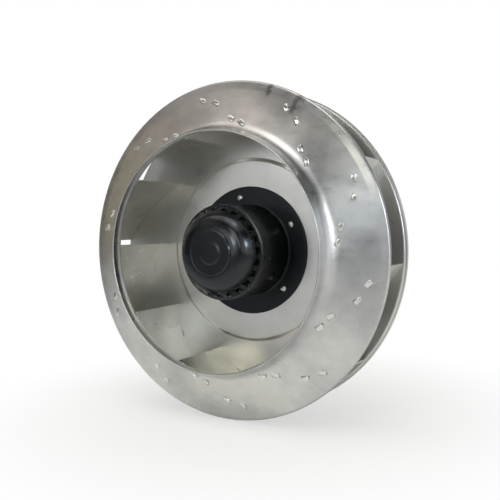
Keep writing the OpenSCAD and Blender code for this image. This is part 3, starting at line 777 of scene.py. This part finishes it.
def cast_metal(name):
    """Die-cast aluminium: a dull, finely pitted skin."""
    s = Shader(name)
    skin = s.noise(1400, 3, 0.65)
    cloud = s.noise(40, 4, 0.6)
    tone = s.mix(s.fit(cloud, 0.3, 0.7, 0.0, 1.0), rgb(0.60, 0.60, 0.60), rgb(0.42, 0.42, 0.43))
    tone = s.mix(s.fit(skin, 0.55, 0.75, 0.0, 0.5), tone, rgb(0.30, 0.30, 0.30))
    normal = s.bump(skin, 0.00008)
    return s.finish(Base_Color=tone, Metallic=0.95, Normal=normal,
                    Roughness=s.fit(s.noise(120, 4, 0.6), 0.3, 0.7, 0.42, 0.6))


def turned_steel(name, tone, rough):
    """Turned or ground steel: fine rings about the spin axis."""
    s = Shader(name)
    r, along = s.axial()
    rings = s.noise(1.0, 2, 0.5, s.add("ShaderNodeCombineXYZ", {
        0: s.math("MULTIPLY", r, 9000.0), 1: s.math("MULTIPLY", along, 6000.0)}).outputs[0])
    stain = s.noise(90, 4, 0.6)
    base = s.mix(s.fit(stain, 0.5, 0.75, 0.0, 0.5), tone, rgb(0.34, 0.32, 0.30))
    normal = s.bump(rings, 0.000006)
    return s.finish(Base_Color=base, Metallic=1.0, Normal=normal,
                    Roughness=s.fit(stain, 0.3, 0.75, rough - 0.03, rough + 0.12))


def laminated(name):
    """Stacked steel sheets, half a millimetre each, along the spin axis."""
    s = Shader(name)
    _, along = s.axial()
    stack = s.math("FRACT", s.math("MULTIPLY", along, 2000.0))
    edge = s.fit(s.math("ABSOLUTE", s.math("SUBTRACT", stack, 0.5)), 0.3, 0.5, 0.0, 1.0)
    rust = s.noise(140, 4, 0.6)
    base = s.mix(s.fit(rust, 0.5, 0.75, 0.0, 0.6), rgb(0.30, 0.30, 0.32), rgb(0.16, 0.10, 0.07))
    base = s.mix(s.math("MULTIPLY", edge, 0.6), base, rgb(0.05, 0.05, 0.055))
    return s.finish(Base_Color=base, Metallic=0.8, Normal=s.bump(edge, -0.00006),
                    Roughness=s.fit(rust, 0.3, 0.7, 0.35, 0.6))


def windings(name):
    """Enamelled wire laid round the coil heads."""
    s = Shader(name)
    r, along = s.axial()
    warp = s.math("MULTIPLY", s.noise(160, 2, 0.5), 2.2)
    strands = s.math("SINE", s.math("ADD", s.math("MULTIPLY", along, 9000.0),
                                    s.math("ADD", s.math("MULTIPLY", r, 7000.0),
                                           s.math("MULTIPLY", warp, 4.0))))
    groove = s.fit(strands, -1.0, 0.2, 0.0, 1.0)
    tone = s.mix(s.noise(260, 3, 0.6), rgb(0.58, 0.22, 0.09), rgb(0.36, 0.12, 0.05))
    tone = s.mix(groove, rgb(0.09, 0.03, 0.015), tone)
    return s.finish(Base_Color=tone, Metallic=0.6, Normal=s.bump(strands, 0.0002),
                    Roughness=0.32, Coat_Weight=0.5, Coat_Roughness=0.2)


def moulded(name, tone, dull, rough, sheen=0.0):
    """Moulded plastic or rubber: fine texture, light scuffs and a little dust."""
    s = Shader(name)
    skin = s.noise(1800, 2, 0.6)
    scuff = s.noise(110, 5, 0.65)
    base = s.mix(s.fit(scuff, 0.45, 0.75, 0.0, 0.7), tone, dull)
    normal = s.bump(skin, 0.00003)
    normal = s.bump(s.noise(300, 2, 0.5), 0.00005, normal)
    return s.finish(Base_Color=base, Normal=normal, Sheen_Weight=sheen,
                    Roughness=s.fit(scuff, 0.3, 0.75, rough - 0.06, rough + 0.14))


shroud_metal = sheet_metal(
    "sheet_aluminium", rgb(0.83, 0.83, 0.82), rgb(0.63, 0.635, 0.65), rough=0.30, dent=0.0011,
    dark_streaks=((59.2, 0.160, 0.178, 0.0034), (70.8, 0.167, 0.178, 0.0028)))
# the blades' lighter, yellowish tones are painted warm light, the light that falls on the lower
# blades inside the wheel
blade_metal = sheet_metal(
    "blade_aluminium", rgb(0.81, 0.80, 0.745), rgb(0.69, 0.685, 0.635), rough=0.30, dent=0.0005,
    grime=0.2, polished_and_highlit=True)
plate_metal = sheet_metal(
    "plate_aluminium", rgb(0.82, 0.815, 0.80), rgb(0.72, 0.72, 0.71), rough=0.32, dent=0.0004,
    grime=0.35)
rotor_paint = paint("black_paint", rgb(0.0035, 0.0040, 0.0048), rgb(0.008, 0.008, 0.008),
                    rough=0.30, coat=0.1)
cap_paint = paint("cap_paint", rgb(0.0035, 0.0042, 0.0052), rgb(0.007, 0.007, 0.0075),
                  rough=0.19, coat=0.8)
rivet_metal = turned_steel("rivet_metal", rgb(0.80, 0.80, 0.79), 0.30)
bearing_steel = turned_steel("bearing_steel", rgb(0.66, 0.66, 0.67), 0.18)
cast = cast_metal("cast_aluminium")
lamination = laminated("core_steel")
copper = windings("copper_winding")
plastic = moulded("white_plastic", rgb(0.78, 0.76, 0.70), rgb(0.62, 0.58, 0.50), 0.42)
rubber = moulded("black_rubber", rgb(0.018, 0.018, 0.018), rgb(0.05, 0.05, 0.048), 0.55, 0.2)
wires = {tint: moulded(f"lead_{tint}_wire", tone, dull, 0.38) for tint, tone, dull in (
    ("brown", rgb(0.16, 0.06, 0.02), rgb(0.20, 0.10, 0.05)),
    ("blue", rgb(0.03, 0.10, 0.42), rgb(0.08, 0.15, 0.40)),
    ("black", rgb(0.015, 0.015, 0.015), rgb(0.04, 0.04, 0.04)),
    ("earth", rgb(0.20, 0.42, 0.05), rgb(0.28, 0.42, 0.12)),
)}


def dress(obj, material):
    """Gives an object one material through its slots."""
    if not obj.material_slots:
        obj.data.materials.append(material)
    for place in obj.material_slots:
        place.material = material


for obj, material, slot in [
    (shroud, shroud_metal, "sheet_aluminium"), (plate, plate_metal, "sheet_aluminium"),
    (sleeve, rotor_paint, "black_paint"), (cap, cap_paint, "black_paint"),
    (rivets, rivet_metal, "rivet_metal"),
] + [(b, blade_metal, "sheet_aluminium") for b in blades]:
    dress(obj, material)

for names, material in [
    (["rotor_core", "stator_core"], lamination),
    (["rotor_cage", "stator_flange"], cast),
    (["shaft", "shaft_circlip", "spring_washer", "front_inner_race", "rear_inner_race",
      "front_outer_race", "rear_outer_race", "front_balls", "rear_balls"], bearing_steel),
    (["front_ball_cage", "rear_ball_cage", "front_insulator", "rear_insulator"], plastic),
    (["stator_winding"], copper),
    (["cable_grommet", "supply_cable"], rubber),
] + [([f"lead_{tint}"], wires[tint]) for tint in wires]:
    for name in names:
        dress(cad[name], material)
        shade(cad[name])

# ---------------------------------------------------------------- studio
def direction(azimuth, elevation):
    """From the wheel outwards: azimuth 0 is the inlet side (-Y), 90 is +X."""
    a, e = math.radians(azimuth), math.radians(elevation)
    return Vector((math.sin(a) * math.cos(e), -math.cos(a) * math.cos(e), math.sin(e)))


world = bpy.data.worlds.new("studio")
bpy.context.scene.world = world
world.use_nodes = True
tree = world.node_tree
tree.nodes.clear()


def world_node(kind, inputs=(), **settings):
    return add_node(tree, kind, inputs, **settings)


def add_glow(colour, azimuth, elevation, inner_deg, outer_deg, tint, strength):
    """Adds a soft round light patch to the surroundings."""
    dot = world_node("ShaderNodeVectorMath", {0: sight, 1: direction(azimuth, elevation)},
                     operation="DOT_PRODUCT").outputs["Value"]
    share = world_node("ShaderNodeMapRange", {
        "Value": dot, "From Min": math.cos(math.radians(outer_deg)),
        "From Max": math.cos(math.radians(inner_deg)),
        "To Min": 0.0, "To Max": strength}, interpolation_type="SMOOTHSTEP").outputs[0]
    glow = world_node("ShaderNodeVectorMath", {0: tint, "Scale": share}, operation="SCALE")
    return world_node("ShaderNodeVectorMath", {0: colour, 1: glow.outputs[0]},
                      operation="ADD").outputs[0]


sight = world_node("ShaderNodeTexCoord").outputs["Generated"]
ROOM = 0.046
surround = world_node("ShaderNodeCombineXYZ", {0: ROOM, 1: ROOM, 2: ROOM}).outputs[0]
GLOWS = [
    # azimuth, elevation, whole within, gone beyond (degrees), tint, strength
    (-14, 5, 0, 20, (0.98, 1.0, 1.0), 1.1),
    (-34, 14, 0, 26, (1.0, 1.0, 0.94), 0.20),
    (46, 14, 0, 28, (0.94, 1.0, 0.97), 0.68),
    (16, 12, 1, 10, (0.90, 0.96, 1.0), 1.4),
    (35, 66, 0, 30, (1.0, 1.0, 0.98), 0.9),
    (8, 50, 0, 24, (1.0, 0.99, 0.92), 0.22),
    (-15, 70, 0, 34, (1.0, 0.88, 0.80), 0.48),
    (-60, 44, 0, 32, (1.0, 0.87, 0.79), 0.22),
    (-60, 70, 0, 34, (1.0, 0.95, 0.87), 0.35),
    (-90, 18, 0, 32, (1.0, 0.88, 0.62), 0.28),
    (-7, 9, 1, 6, (0.94, 0.98, 1.0), 5.5),
    (62, 17, 1, 7, (0.92, 0.97, 1.0), 11.0),
    (38, 62, 2, 8, (1.0, 0.99, 0.97), 2.5),
    (180, 20, 15, 48, (1.0, 0.99, 0.98), 0.55),
]
for azimuth, elevation, inner, outer, tint, strength in GLOWS:
    surround = add_glow(surround, azimuth, elevation, inner, outer, tint, strength)
# the room is uneven, which the metal picks up as soft patches
patches = world_node("ShaderNodeTexNoise", {"Vector": sight, "Scale": 3.2, "Detail": 2.0,
                                            "Roughness": 0.5}).outputs[0]
patches = world_node("ShaderNodeMapRange", {"Value": patches, "From Min": 0.38, "From Max": 0.62,
                                            "To Min": 0.72, "To Max": 1.28}).outputs[0]
surround = world_node("ShaderNodeVectorMath", {0: surround, "Scale": patches},
                      operation="SCALE").outputs[0]
to_camera = world_node("ShaderNodeLightPath").outputs["Is Camera Ray"]
backdrop = world_node("ShaderNodeBackground", {"Color": (1.0, 1.0, 1.0, 1.0), "Strength": 1.0})
lighting = world_node("ShaderNodeBackground", {"Color": surround, "Strength": 1.0})
both = world_node("ShaderNodeMixShader", {0: to_camera, 1: lighting.outputs[0],
                                          2: backdrop.outputs[0]})
world_node("ShaderNodeOutputWorld", {"Surface": both.outputs[0]})


def area_light(name, azimuth, elevation, distance, size, power, tint, target=(0, 0, 0)):
    """A rectangular light aimed at a target, which the camera doesn't see."""
    lamp = bpy.data.lights.new(name, "AREA")
    lamp.shape = "RECTANGLE"
    lamp.size, lamp.size_y = size
    lamp.energy = power
    lamp.color = tint
    obj = placed(name, lamp)
    toward = direction(azimuth, elevation)
    obj.location = Vector(target) + toward * distance
    obj.rotation_mode = "QUATERNION"
    obj.rotation_quaternion = toward.to_track_quat("Z", "Y")
    obj.visible_camera = False
    return obj


area_light("window", 80, 10, 1.8, (1.7, 1.2), 4.8, (0.93, 0.97, 1.0))
ceiling = area_light("ceiling", -30, 76, 1.7, (1.6, 1.2), 8.2, (0.86, 0.97, 1.0))
ceiling.visible_glossy = False
# a small warm card in front, which the lowest blades reflect
area_light("card", 7, 33, 0.60, (0.20, 0.16), 0.17, (1.0, 0.97, 0.78),
           target=(0.0, -0.07, -0.12))

FLOOR, FLOOR_GAP = 3.0, 0.0005
# from where to where, in metres, the floor fades to white, gets darker, and counts as in front
FADE, DARK, FRONT = (0.12, 0.42), (0.35, 1.0), (-0.1, -0.4)
floor_z = cad_box[0].z - FLOOR_GAP
floor_mesh = bpy.data.meshes.new("floor")
floor_mesh.from_pydata([(-FLOOR, -FLOOR, floor_z), (FLOOR, -FLOOR, floor_z),
                        (FLOOR, FLOOR, floor_z), (-FLOOR, FLOOR, floor_z)], [], [(0, 1, 2, 3)])
floor = placed("floor", floor_mesh)
pale = Shader("pale_floor")
reach = pale.add("ShaderNodeVectorMath", {0: pale.where}, operation="LENGTH").outputs["Value"]
tone = pale.mix(pale.noise(6, 3, 0.5), rgb(0.93, 0.92, 0.89), rgb(0.90, 0.89, 0.86))
# the far floor in front is darker, which the lower right of the metal reflects
ahead = pale.add("ShaderNodeSeparateXYZ", {0: pale.where}).outputs[1]
far = pale.math("MULTIPLY", pale.fit(reach, *DARK, 0.0, 1.0),
                pale.fit(ahead, *FRONT, 0.0, 1.0))
tone = pale.mix(far, tone, rgb(0.36, 0.37, 0.39))
paper = pale.add("ShaderNodeBsdfPrincipled", {"Base Color": tone, "Roughness": 0.7}).outputs[0]
# to the camera the floor fades into the white backdrop, so no horizon shows
glare = pale.add("ShaderNodeEmission", {"Color": rgb(1.0, 1.0, 1.0), "Strength": 1.0}).outputs[0]
fade = pale.add("ShaderNodeMapRange", {
    "Value": reach, "From Min": FADE[0], "From Max": FADE[1],
    "To Min": 0.5}, interpolation_type="SMOOTHSTEP").outputs[0]
to_camera = pale.add("ShaderNodeLightPath").outputs["Is Camera Ray"]
surface = pale.add("ShaderNodeMixShader", {0: pale.math("MULTIPLY", fade, to_camera),
                                           1: paper, 2: glare}).outputs[0]
pale.add("ShaderNodeOutputMaterial", {"Surface": surface})
floor.data.materials.append(pale.material)

# the camera stands at PLACE and looks back along a direction, a little rolled
LENS_MM, SENSOR_MM, CLIP = 46.31, 36, 0.02
PLACE, AZIMUTH, ELEVATION, ROLL = (0.3585, -0.6521, 0.0238), 29.857, 1.889, -1.084
camera_data = bpy.data.cameras.new("camera")
camera_data.lens = LENS_MM
camera_data.sensor_width = SENSOR_MM
camera_data.clip_start = CLIP
camera = placed("camera", camera_data)
level = direction(AZIMUTH, ELEVATION).to_track_quat("Z", "Y")
rolled = level @ Quaternion((0, 0, 1), math.radians(ROLL))
camera.matrix_world = Matrix.Translation(PLACE) @ rolled.to_matrix().to_4x4()
bpy.context.scene.camera = camera
bpy.context.scene.view_settings.view_transform = "Standard"
